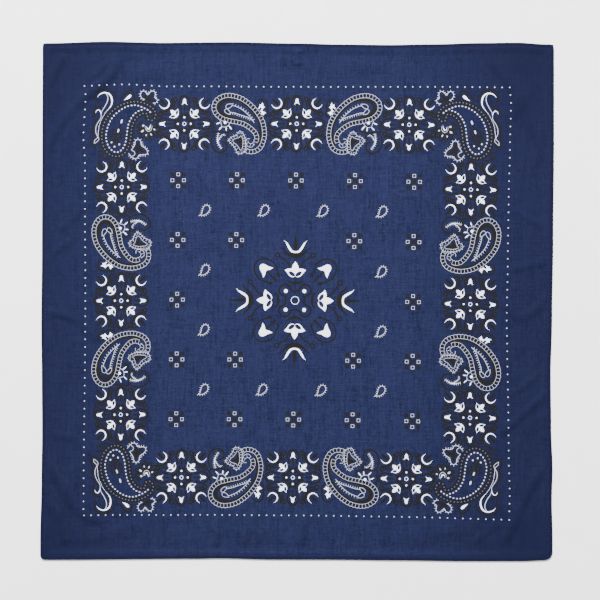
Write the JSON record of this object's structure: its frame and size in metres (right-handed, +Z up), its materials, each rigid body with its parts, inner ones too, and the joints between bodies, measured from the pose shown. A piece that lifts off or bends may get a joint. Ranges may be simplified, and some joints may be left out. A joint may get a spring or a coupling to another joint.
{
  "type": "bandana laid out flat",
  "caption": "Square navy cotton bandana laid out flat, with narrow turned hems and a printed border of paisleys and flowers.",
  "frame": {"origin": "on the ground, under the middle of the cloth's bounding box", "axes": "+Z up, out of the printed side; +X towards the cloth's right side and +Y towards its top as laid"},
  "size_m": [0.5522, 0.5586, 0.0023],
  "materials": {
    "printed_cotton": "plain-weave cotton, navy, printed on one side in white and black",
    "hem_cotton": "plain-weave cotton, navy, turned under and sewn"
  },
  "bodies": {
    "root": {"panel": "printed_cotton", "hem_top": "hem_cotton", "hem_bottom": "hem_cotton", "hem_left": "hem_cotton", "hem_right": "hem_cotton"}
  },
  "joints": []
}
